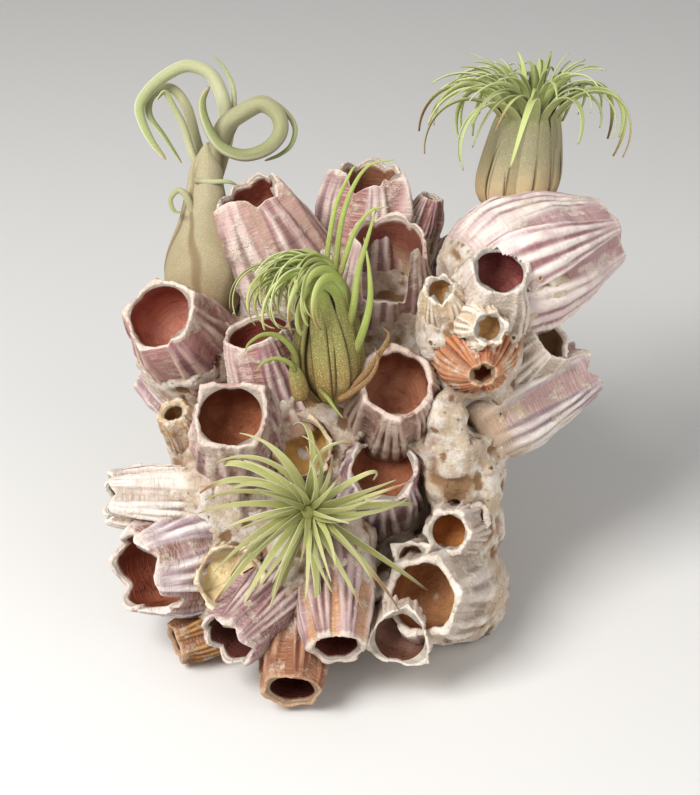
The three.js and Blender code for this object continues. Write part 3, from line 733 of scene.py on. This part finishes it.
def buildCrust():
    cell = crust["cell"]
    lows = np.min([place["lip"] - place["length"] * 1.1 for place in places.values()], 0)
    highs = np.max([place["lip"] + place["length"] * 0.3 for place in places.values()], 0)
    low = np.array([max(lows[0], -100), max(lows[1], -90), -3 * cell + 0.6])
    high = np.array([min(highs[0], 105), min(highs[1], 105), min(highs[2], 150)])
    shape = ((high - low) / cell).astype(int) + 1
    points, faces = skin(crustField(low, shape, cell), low, cell)
    corners = points[faces]
    flat = np.cross(corners[:, 2] - corners[:, 0], corners[:, 3] - corners[:, 1])
    normals = np.zeros_like(points)
    for k in range(4):
        np.add.at(normals, faces[:, k], flat)
    normals /= np.linalg.norm(normals, axis=1)[:, None] + 1e-9
    rise = roughNoise(points, 6, 3, 40)
    pits = smooth(0.42, 0.75, valueNoise(points, 3.4, 71))
    pits = pits + smooth(0.5, 0.8, valueNoise(points, 6.5, 72)) * 1.6
    moved = points + normals * (rise * crust["grains"] - pits * crust["pits"])[:, None]
    # pits also lower the rise, which the crust finish paints as shade
    rise = rise - pits
    floorLine = (points[:, 2] < 0.6)[:, None]
    points = np.where(floorLine, points, moved)
    points[:, 2] = np.maximum(points[:, 2], 0)
    faces = faces.tolist()

    # young barnacles, no more than a few mm across, on the open parts of the crust
    random = np.random.default_rng(crust["seed"])
    openSpots = np.argwhere((points[:, 2] > 8) & (np.abs(rise) < 0.35))[:, 0]
    spots = random.choice(openSpots, crust["young"], replace=False)
    sides = crust["youngSides"]
    turns = np.linspace(0, 2 * np.pi, sides, endpoint=False)
    shape = np.array([[1.25, -0.5], [1.05, 0.25], [0.8, 0.62], [0.58, 0.85], [0.45, 0.8], [0.36, 0.5],
                      [0.1, 0.25]])
    # the rise of each ring; the two below zero paint shade into the young barnacle's opening
    shades = [0.2, 0.7, 0.9, 1.0, 0.3, -1.2, -2.0]
    for spot in spots:
        size = random.uniform(1.1, 2.6)
        axis = unit(normals[spot] + random.normal(0, 0.15, 3))
        side = unit(np.cross(axis, [0.2, 0.5, 1]))
        plates = 1 + 0.09 * np.cos(6 * turns + random.uniform(0, 6))[None] * (shape[:, 1:] > -0.2)
        circle = np.cos(turns)[:, None] * side + np.sin(turns)[:, None] * np.cross(axis, side)
        wide, tall = (shape[:, 0, None] * plates)[..., None], shape[:, 1, None, None]
        ring = points[spot] + size * wide * circle + size * tall * axis
        start = len(points)
        points = np.concatenate([points, ring.reshape(-1, 3), [ring[-1].mean(0)]])
        faces += ringFaces(len(shape), sides, start, None, start + len(shape) * sides)
        rise = np.concatenate([rise, np.repeat(shades, sides), shades[-1:]])
    return makePiece("cement_crust_grown", points, faces, {"rise": rise}, crustFinish(), ["cement_crust"])


crustPiece = buildCrust()
print("crust built:", len(crustPiece.data.polygons), "faces")


# leaves of the air plants

leafLooks = {"base": "#c8a878", "low": "#93845a", "blade": "#8b9a52", "tip": "#9fae62", "dry": "#9a7048",
             "edge": "#c9cda6", "grooveShade": "#5a4a2c", "scale": "#cfc9a8", "speckle": 0.5, "bladeFrom": 0.3}


def leafFinish(name, own):
    look = {**leafLooks, **own.get("look", {})}
    finish = Finish(name)
    mix, step, noise = finish.mix, finish.step, finish.noise
    along, edge, tone, dry = (finish.value(key) for key in ("along", "edge", "tone", "dry"))
    grain = finish.place("grain")
    body = finish.node("ShaderNodeTexCoord", {}, {}, 3)
    clouds = noise(body, 120, 4)
    speckles = noise(body, 2600, 3, 0.7)
    fibres = noise(finish.stretch(grain, (3.0, 0.12, 1)), 1.0, 3)

    start = look["bladeFrom"]
    base = mix(look["base"], look["low"], step(along + (clouds - 0.5) * 0.2, 0.0, start * 0.7))
    base = mix(base, look["blade"], step(along, start * 0.8, start * 1.3))
    base = mix(base, look["tip"], step(along, start * 1.3, 0.95))
    base = mix(base, look["dry"], step(along + dry * 0.6, 0.98, 1.12))
    base = mix(base, look["scale"], step(speckles, 0.52, 0.68) * look["speckle"])
    base = mix(base, look["edge"], step(edge, 0.7, 1.0) * step(along, start * 0.8, start * 1.4) * 0.7)
    # painted shade: the lower leaf edges, where the sheaths overlap round the bulb, are darkened in the
    # grooves between them
    base = mix(base, look["grooveShade"], step(edge, 0.72, 1.0) * step(along, start * 1.1, start * 0.6) * 0.75)
    shade = mix("#a89f86", "#ffffff", step(tone + (fibres - 0.5) * 0.5, 0.0, 0.9))
    base = mix(base, shade, 0.7, "MULTIPLY")
    height = fibres * 0.5 + speckles * 0.35
    return finish.finish(base, 0.72 + (speckles - 0.5) * 0.2, height, 0.25, {"Specular IOR Level": 0.3})


# One leaf round a path: its width runs along the side that is carried along the path, and it curls about its
# middle line by the given radius, so that its edges turn towards the plant's heart.
def leafRings(path, side, halfWidth, thick, curl, ringPoints=7):
    way = unitRows(np.gradient(path, axis=0))
    sides = np.empty_like(path)
    for k in range(len(path)):
        side = unit(side - way[k] * (side @ way[k]))
        sides[k] = side
    outward = np.cross(sides, way)
    across = np.sin(np.linspace(-1, 1, ringPoints) * np.pi / 2)
    rings, edge = [], []
    for face in (1, -1):
        for u in across[::face][:-1 if face > 0 else None]:
            angle = halfWidth * u / curl
            body = thick * (0.25 + 0.75 * math.sqrt(max(0.0, 1 - u * u))) / 2
            rings.append(path + sides * (curl * np.sin(angle))[:, None]
                         - outward * (curl * (1 - np.cos(angle)) - face * body)[:, None])
            edge.append(abs(u))
    rings = np.stack(rings[:-1], 1)
    return rings, np.array(edge[:-1])


def unitRows(rows):
    return rows / (np.linalg.norm(rows, axis=-1, keepdims=True) + 1e-9)


class Bunch:  # gathers leaves and bulbs into one mesh
    def __init__(self):
        self.points, self.faces, self.count = [], [], 0
        self.values = {key: [] for key in ("along", "edge", "tone", "dry", "grain")}

    def add(self, rings, along, edge, tone, dry, turnsInside=False):
        rows, columns = rings.shape[:2]
        ends = np.stack([rings[0].mean(0), rings[-1].mean(0)])
        last = self.count + rows * columns
        faces = ringFaces(rows, columns, self.count, last, last + 1)
        if turnsInside:
            faces = [face[::-1] for face in faces]
        self.faces += faces
        self.points.append(np.concatenate([rings.reshape(-1, 3), ends]))
        step = np.linalg.norm(np.diff(rings.mean(1), axis=0), axis=1)
        travelled = np.concatenate([[0], np.cumsum(step)])
        acrossPlace = np.linspace(0, 6, columns, endpoint=False)
        grain = np.stack([np.broadcast_to(acrossPlace[None], (rows, columns)) + 13 * tone,
                          np.broadcast_to(travelled[:, None], (rows, columns)),
                          np.full((rows, columns), 31.0 * tone)], -1).reshape(-1, 3)
        self.values["grain"].append(np.concatenate([grain, grain[[0, -1]]]))
        for key, numbers in (("along", along[:, None]), ("edge", edge), ("tone", tone), ("dry", dry)):
            spread = np.broadcast_to(numbers, (rows, columns)).ravel()
            self.values[key].append(np.concatenate([spread, spread[[0, -1]]]))
        self.count += rows * columns + 2

    def make(self, name, material, replaced):
        values = {key: np.concatenate(parts) for key, parts in self.values.items()}
        return makePiece(name, np.concatenate(self.points), self.faces, values, material, replaced)


# The tufted plants. Bulb: [radius, height] pairs in mm up the plant. Leaves go from the youngest, upright in
# the middle, to the oldest: each pair is the value for the youngest and the oldest. Open is the angle from
# the plant's axis at which a blade starts, bend how far it turns over on the way to its tip, in degrees.
# Combed turns all blades one way, sweep and droop pull their tips sideways and down, and a one-sided plant
# droops most on its left.
tufts = {
    "top_plant": {
        "turn": 150, "lift": 76, "height": 42, "seed": 4, "count": 84, "blade": (20, 50), "open": (4, 34),
        "bend": (60, 190), "start": (0.99, 0.88), "width": (1.3, 1.7), "dryness": -0.26,
        "combed": (-0.15, 0.5, 0), "sheath": 3.5, "sheaths": 22, "bulb": [[5, 0], [12.5, 5], [15, 13],
        [13.2, 26], [10.4, 37], [6, 42]], "sweep": (-0.15, 0, 0), "droop": 0.35,
        "look": {"base": "#d9b78c", "low": "#989070", "blade": "#a3ae64", "tip": "#bcc67a",
            "bladeFrom": 0.45, "speckle": 0.7},
    },
    "middle_plant": {
        "turn": 180, "lift": 66, "height": 45, "seed": 9, "count": 70, "blade": (26, 47), "open": (0, 14),
        "bend": (150, 250), "start": (0.99, 0.82), "width": (1.5, 1.9), "sheath": 3.5, "sheaths": 22,
        "twist": 0.6, "bulb": [[4, 0], [10.5, 7], [12, 17], [9.6, 30], [6.6, 40], [3.5, 45]],
        "sweep": (0, 0, 0), "combed": (-1.5, -0.35, 0.0), "droop": 0.12, "dryness": -0.25,
        "pup": {"foot": [-9.5, 2, 12], "tip": [-12.5, 15, 11], "radius": 4},
        "look": {"base": "#866a38", "low": "#7c773e", "blade": "#9db052", "tip": "#c6d07a",
            "bladeFrom": 0.4, "grooveShade": "#3a2c16", "speckle": 0.75, "scale": "#d8cb94"},
        "strays": [
            {"width": 2.6, "points": [[-11, 11, 11], [-12, 19, 12], [-17, 25, 13], [-23, 26, 14],
                [-28, 23, 14], [-29.6, 20, 14]]},
            {"width": 2.2, "points": [[-11, 9, 12], [-13, 15, 14], [-18, 17.5, 15], [-23, 16, 15],
                [-25.5, 13, 15]]},
            {"width": 3.6, "dry": 1, "points": [[5, 2, 9], [10, 7, 10], [15, 13, 10], [19, 19, 9],
                [22, 25, 8], [20, 28, 8]]},
            {"width": 2.4, "dry": 1, "points": [[4, 2, 11], [9, 5, 12], [15, 10, 12], [18, 16, 11],
                [17, 21, 11]]},
            {"width": 1.6, "points": [[-3, 6, 12], [0, 3, 14], [3, -1, 15], [5.5, -4, 15]]},
            {"width": 3.6, "points": [[6, 12, 6], [11, 22, 9], [15, 36, 9], [15, 48, 6], [13, 60, 2]]},
            {"width": 3.2, "points": [[5, 20, 6], [9, 34, 8], [11, 48, 6], [15, 62, 2], [18, 72, 0]]},
            {"width": 2.6, "points": [[1, 36, 3], [3, 52, 3], [5, 66, 1], [9, 78, -1], [15, 86, -2],
                [24, 88, -2]]},
            {"width": 2.4, "points": [[2, 38, 3], [6, 52, 4], [10, 63, 3], [16, 70, 2], [22, 71, 1]]},
            {"width": 2.2, "points": [[-1, 38, 3], [0, 56, 2], [3, 72, 0], [8, 83, -2], [10, 86, -3]]},
        ],
    },
    "rosette_plant": {
        "turn": 0, "lift": 32, "height": 9, "seed": 2, "count": 50, "blade": (24, 48), "open": (18, 70),
        "bend": (35, 62), "start": (0.95, 0.4), "width": (1.0, 1.55), "sheath": 3.0, "sheaths": 9,
        "bulb": [[3, -1], [5.5, 3], [5, 6], [2.5, 9]], "sweep": (-0.35, -0.05, 0.15), "droop": 0.95,
        "oneSided": 0.8, "sway": 0.28,
        "look": {"base": "#6f6f34", "low": "#84863f", "blade": "#a0a356", "tip": "#bbb97c",
            "bladeFrom": 0.14, "edge": "#ecebd8", "speckle": 0.55},
    },
}


def smoothLine(points, count):  # a smooth line through the points, evenly spread by number
    points = np.asarray(points, float)
    padded = np.concatenate([[2 * points[0] - points[1]], points, [2 * points[-1] - points[-2]]])
    place = np.linspace(0, len(points) - 1, count)
    start = np.minimum(place.astype(int), len(points) - 2)
    t = (place - start)[:, None]
    a, b, c, d = (padded[start + k] for k in range(4))
    square, cube = 2 * a - 5 * b + 4 * c - d, 3 * b - a - 3 * c + d
    return 0.5 * (2 * b + (c - a) * t + square * t ** 2 + cube * t ** 3)


def bulbRadius(profile, height):
    line = smoothLine(profile, 60)
    order = np.argsort(line[:, 1])
    return np.interp(height, line[order, 1], line[order, 0])


def tuftFrame(name, own):
    axis = direction(own["turn"], own["lift"])
    points = solidArrays(name + "_bulb")[0]
    foot = points[np.argmax(points @ axis)] - axis * own["height"]
    side = unit(np.cross([0, 0, 1.0], axis)) if abs(axis[2]) < 0.97 else np.array([1.0, 0, 0])
    return foot, axis, side, np.cross(axis, side)


def addPup(bunch, foot, strayFrame, pup):  # a small new plant beside the old one
    low, high = (foot + np.array(pup[key]) @ strayFrame for key in ("foot", "tip"))
    way = unit(high - low)
    side = unit(np.cross(way, [0.3, 1, 0.2]))
    share = np.linspace(0, 1, 20)
    turns = np.linspace(0, 2 * np.pi, 30, endpoint=False)
    swell = np.sqrt(np.clip(np.sin(np.pi * (0.06 + 0.86 * share)), 0, 1))
    radii = pup["radius"] * swell * blend(1.0, 0.6, share)
    circle = np.cos(turns)[:, None] * side + np.sin(turns)[:, None] * np.cross(way, side)
    lobes = 1 + 0.09 * np.cos(3 * turns[None] + 3 * share[:, None])
    rings = low + share[:, None, None] * (high - low) + (radii[:, None] * lobes)[..., None] * circle
    bunch.add(rings, share * 0.3, (1 - lobes) * 8, 0.6, 0.0)


def buildTuft(name):
    own = tufts[name]
    foot, axis, right, front = tuftFrame(name, own)
    random = np.random.default_rng(own["seed"])
    bunch = Bunch()
    profile = own["bulb"]
    low, high = profile[0][1], profile[-1][1]

    heights = np.linspace(low, high, 24)  # the heart that the sheaths lie on
    turns = np.linspace(0, 2 * np.pi, 40, endpoint=False)
    radii = bulbRadius(profile, heights) - 0.5
    circle = np.cos(turns)[:, None] * right + np.sin(turns)[:, None] * front
    heart = foot + heights[:, None, None] * axis + np.maximum(radii, 0.6)[:, None, None] * circle
    bunch.add(heart, np.linspace(0, 0.4, 24), np.zeros(40), 0.3, 0.0)

    for i in range(own["count"]):
        age = (i + 0.5) / own["count"]
        angle = i * goldenTurn + random.uniform(-0.25, 0.25)
        out = math.cos(angle) * right + math.sin(angle) * front
        sheathed = i >= own["count"] - own["sheaths"]
        startShare = blend(*own["start"], age)
        startHeight = blend(low, high, startShare)
        layer = 0.35 + 0.9 * (age if sheathed else 0)
        sheathFoot, sheathRows = (low, 22) if sheathed else (startHeight - 3, 4)
        sheathHeights = np.linspace(sheathFoot, startHeight, sheathRows)
        sheathRadii = bulbRadius(profile, sheathHeights) + layer - (0 if sheathed else 1.2)
        twist = random.uniform(-1, 1) * own.get("twist", 0.35) * np.linspace(0, 1, len(sheathHeights)) ** 2
        bearings = angle + (twist - twist[-1])
        outs = np.cos(bearings)[:, None] * right + np.sin(bearings)[:, None] * front
        sheath = foot + sheathHeights[:, None] * axis + sheathRadii[:, None] * outs

        length = blend(*own["blade"], age) * random.uniform(0.82, 1.12)
        opening = math.radians(blend(*own["open"], age) * random.uniform(0.8, 1.2))
        bend = math.radians(blend(*own["bend"], age) * random.uniform(0.75, 1.15))
        sway = (right * random.normal() + front * random.normal()) * own.get("sway", 0.15)
        fan = unit(out + np.array(own.get("combed", (0, 0, 0))))
        pull = own["droop"] * (1 - own.get("oneSided", 0) * (out @ right))
        blade, spot = [], sheath[-1]
        for k in range(1, bladeSteps + 1):
            t = k / bladeSteps
            lean = opening + bend * t ** 1.15
            way = math.sin(lean) * fan + math.cos(lean) * axis + np.array(own["sweep"]) * t + sway * t
            way = unit(way + np.array([0, 0, -pull]) * t * (0.3 + age))
            spot = spot + way * (length / bladeSteps)
            blade.append(spot)
        path = np.concatenate([sheath, blade])
        rows = len(path)
        sheathShare = len(sheath) / rows
        bladeFrom = own["look"]["bladeFrom"]
        along = np.concatenate([np.linspace(0 if sheathed else 0.6, 1, len(sheath)) * bladeFrom,
                                np.linspace(bladeFrom, 1, bladeSteps + 1)[1:]])
        t = np.clip((np.arange(rows) / rows - sheathShare) / (1 - sheathShare), 0, 1)
        bladeWidth = blend(*own["width"], age) * random.uniform(0.85, 1.15)
        halfWidth = bladeWidth * (1 - t ** 1.3) + 0.14
        if sheathed:
            rise = np.clip(np.arange(rows) / (len(sheath) - 1), 0, 1)
            widened = (1 - smooth(0.7, 1.08, rise)) * smooth(-0.5, 0.3, rise)
            halfWidth = halfWidth + (own["sheath"] - bladeWidth) * widened
        thick = blend(1.0, 0.45, t ** 0.8)
        radius = np.concatenate([sheathRadii, np.full(bladeSteps, 3.0)])
        radius[len(sheath):] = blend(sheathRadii[-1], 2.2, smooth(0, 0.35, t[len(sheath):]))
        rings, edge = leafRings(path, np.cross(axis, out), halfWidth, thick, np.maximum(radius, 1.4))
        dry = max(0.0, random.uniform(-0.5, 0.35) + 0.35 * age + own.get("dryness", 0))
        bunch.add(rings, along, edge, random.uniform(0.2, 1.0), dry)
    across = np.array([1.0, 0, 0])
    strayFrame = np.array([across, axis, np.cross(across, axis)])  # to the right, up and to the front
    for number, stray in enumerate(own.get("strays", [])):
        path = foot + smoothLine(stray["points"], strayRows) @ strayFrame
        t = np.linspace(0, 1, strayRows)
        halfWidth = stray["width"] / 2 * (1 - t ** 1.4) + 0.15
        side = np.cross(path[1] - path[0], strayFrame[2])
        curl = np.full(strayRows, max(1.4, stray["width"] * 0.6))
        rings, edge = leafRings(path, side, halfWidth, blend(1.0, 0.4, t), curl)
        bunch.add(rings, blend(0.3, 0.8, t), edge, 0.15 + 0.05 * number, stray.get("dry", 0) * 1.6)
    if "pup" in own:
        addPup(bunch, foot, strayFrame, own["pup"])
    material = leafFinish(name + "_finish", own)
    bunch.make(name + "_grown", material, [name + "_bulb", name + "_leaves"])


for name in tufts:
    buildTuft(name)
print("tufted plants built")


# The curly plant, in its own leaning frame: X to the right, Y to the back, Z up along the plant.
curly = {
    "lean": 32, "height": 51, "bulbMiddle": -4, "bulb": [[4, -9.4], [9, -8], [14.6, 4], [14, 15],
    [8.5, 29], [5.4, 42], [4.4, 50], [2.6, 56], [0.6, 60]],
    "look": {"base": "#9c8a68", "low": "#a39878", "blade": "#b7b690", "tip": "#98a268", "edge": "#dfdcc0",
        "scale": "#d9d3b4", "grooveShade": "#7a6242", "bladeFrom": 0.3},
    "leaves": {
        "curly_leaf_ring": {"width": 9.6, "thick": 5.5, "taper": 0.36, "points": [
            [-3, 0, 44], [0, 0, 58], [3, 1, 67], [11, 1, 73], [18, 0, 75.5], [24, -1, 71], [25, -2, 64],
            [20, -4, 57.5], [11, -6, 54.5], [2, -7, 58], [-3.5, -7, 67], [-5, -7, 75], [-2.5, -7, 81]]},
        "curly_leaf_outer_ring": {"width": 3.2, "thick": 1.2, "taper": 0.5, "points": [
            [3, 5, 60], [12, 5, 76], [21, 5, 77], [28, 4, 72], [31, 3, 66], [29.5, 2, 59.5],
            [25, 2, 55.5], [19, 2, 53]]},
        "curly_leaf_left_loop": {"width": 7.4, "thick": 3.0, "taper": 0.5, "points": [
            [-1, 5, 48], [1, 6, 62], [3, 6, 71], [1.5, 5, 80], [-3, 4, 88], [-11, 3, 91], [-18, 2, 88.5],
            [-25, 1, 83], [-30, 0, 76], [-30, 0, 70], [-26, -1, 61], [-20, -2, 53]]},
        "curly_leaf_left_inner": {"width": 5.6, "thick": 1.4, "taper": 0.4, "points": [
            [-4, 6, 45], [-9, 9, 62], [-13, 9, 76], [-19, 8, 83], [-26, 6, 80], [-27, 4, 72],
            [-21, 2, 63], [-14, 1, 52]]},
        "curly_leaf_stub": {"width": 4.2, "thick": 1.4, "taper": 0.4, "points": [
            [-5, 2, 45], [-10, 2, 56], [-13, 0, 66], [-17, -2, 74], [-20, -4, 79], [-23, -6, 76]]},
        "curly_leaf_upright": {"width": 3.4, "thick": 1.4, "taper": 0.25, "points": [
            [0, 6, 45], [4, 10, 60], [6, 9, 72], [6, 8, 83], [2.5, 7, 91], [-1.5, 6, 95.5]]},
        "curly_leaf_low_curl": {"width": 3.6, "thick": 1.3, "taper": 0.3, "points": [
            [-7, -5, 26], [-11, -8, 37], [-14.5, -8, 40], [-17.5, -8, 36.5], [-16, -9, 32],
            [-12.5, -12, 30.5]]},
        "curly_leaf_crossing": {"width": 2.8, "thick": 1.1, "taper": 0.3, "points": [
            [-8, -7, 44], [-2, -7, 43.5], [5, -7, 43.5], [9, -5, 42]]},
    },
}


def curlyPlace(points):
    lean = math.radians(curly["lean"])
    right, up, back = np.array([1.0, 0, 0]), np.array([0, math.sin(lean), math.cos(lean)]), \
        np.array([0, math.cos(lean), -math.sin(lean)])
    solid = solidArrays("curly_bulb")[0]
    origin = solid[np.argmax(solid @ up)] - up * curly["height"] - right * curly["bulbMiddle"]
    return origin + points[..., :1] * right + points[..., 1:2] * back + points[..., 2:] * up


def buildCurly():
    profile = curly["bulb"]
    heights = np.linspace(profile[0][1], profile[-1][1], curlyRows)
    turns = np.linspace(0, 2 * np.pi, curlySides, endpoint=False)
    share = np.linspace(0, 1, curlyRows)[:, None]
    radii = bulbRadius(profile, heights)[:, None] * np.ones((1, curlySides))
    flat = np.ones((curlyRows, 1))
    spots = np.stack([np.cos(turns) * 10 * flat, np.sin(turns) * 10 * flat,
                      heights[:, None] * np.ones((1, curlySides))], -1)
    wander = valueNoise(spots, 12, 5)
    edge = np.zeros((curlyRows, curlySides))
    for k, (first, climb) in enumerate(((0.2, 1.1), (1.7, -0.9), (3.1, 1.3), (4.6, -1.0), (5.6, 0.8))):
        turned = (turns[None] - first - climb * share ** 1.5 + 0.25 * wander) % (2 * np.pi)
        sheath = 0.9 * smooth(0, 2.6, turned) * smooth(2 * np.pi, 5.9, turned) - 0.35
        radii = radii + sheath * smooth(1, 0.8, share)
        # the seams between the sheaths, where the leaf finish paints shade into the grooves
        edge = np.maximum(edge, smooth(0.5, 0.0, np.minimum(turned, 2 * np.pi - turned)))
    radii = radii + 0.3 * wander
    ring = np.stack([radii * np.cos(turns) + curly["bulbMiddle"], radii * np.sin(turns),
                     heights[:, None] * np.ones((1, curlySides))], -1)
    bunch = Bunch()
    bunch.add(curlyPlace(ring), share[:, 0] * 0.3, edge, 0.8, 0.0, True)
    bunch.make("curly_bulb_grown", leafFinish("curly_bulb_finish", curly), ["curly_bulb"])

    for number, (node, leaf) in enumerate(curly["leaves"].items()):
        line = smoothLine(leaf["points"], curlyRows)
        path = curlyPlace(line)
        t = np.linspace(0, 1, curlyRows)
        rounded = np.sqrt(np.clip(1 - t ** 8, 0, 1))
        halfWidth = leaf["width"] / 2 * blend(1, leaf["taper"], t) * rounded + 0.12
        way = unitRows(np.gradient(path, axis=0))
        facing = curlyPlace(np.array([0, -1.0, 0])) - curlyPlace(np.zeros(3))
        side = unit(np.cross(way[0], facing))
        thick, curl = leaf["thick"] * blend(1, 0.4, t), np.full(curlyRows, leaf["width"] * 0.45)
        rings, edge = leafRings(path, side, halfWidth, thick, curl, 9)
        bunch = Bunch()
        bunch.add(rings, blend(0.22, 1, t), edge, 0.35 + 0.6 * ((number * 0.37) % 1), 0.1)
        bunch.make(node + "_grown", leafFinish(node + "_finish", curly), [node])


buildCurly()
print("curly plant built")


# floor, camera and light

studio = {"floor": "#dcdad6", "aim": (0, 0, 0.088), "distance": 0.62, "elevation": 32, "lens": 73.9,
          "key": (-0.55, -0.45, 0.85), "keyPower": 14, "fill": (0.7, -0.6, 0.5), "fillPower": 4,
          "sky": 0.34}


def addLight(name, place, size, power):
    data = bpy.data.lights.new(name, "AREA")
    data.size = size
    data.energy = power
    light = bpy.data.objects.new(name, data)
    light.location = place
    light.rotation_euler = (Vector(studio["aim"]) - Vector(place)).to_track_quat("-Z", "Y").to_euler()
    bpy.context.scene.collection.objects.link(light)


floorMesh = bpy.data.meshes.new("floor")
floorMesh.from_pydata([(-4, -4, 0), (4, -4, 0), (4, 4, 0), (-4, 4, 0)], [], [(0, 1, 2, 3)])
floor = bpy.data.objects.new("floor", floorMesh)
floor.location.z = -0.0004
bpy.context.scene.collection.objects.link(floor)
floorFinish = Finish("floor_finish")
floorMesh.materials.append(floorFinish.finish(colour(studio["floor"]), 0.9, 0.0, 0.1, {}))

addLight("key", studio["key"], 0.5, studio["keyPower"])
addLight("fill", studio["fill"], 0.9, studio["fillPower"])
world = bpy.data.worlds.new("studio")
world.use_nodes = True
world.node_tree.nodes["Background"].inputs["Color"].default_value = (0.97, 0.98, 1.0, 1)
world.node_tree.nodes["Background"].inputs["Strength"].default_value = studio["sky"]
bpy.context.scene.world = world
bpy.context.scene.view_settings.view_transform = "Standard"

camera = bpy.data.objects.new("camera", bpy.data.cameras.new("camera"))
camera.data.lens = studio["lens"]
lift = math.radians(studio["elevation"])
back = Vector((0, -math.cos(lift), math.sin(lift)))
camera.location = Vector(studio["aim"]) + back * studio["distance"]
camera.rotation_euler = (-back).to_track_quat("-Z", "Y").to_euler()
bpy.context.scene.collection.objects.link(camera)
bpy.context.scene.camera = camera

print("camera, light and sizes set")
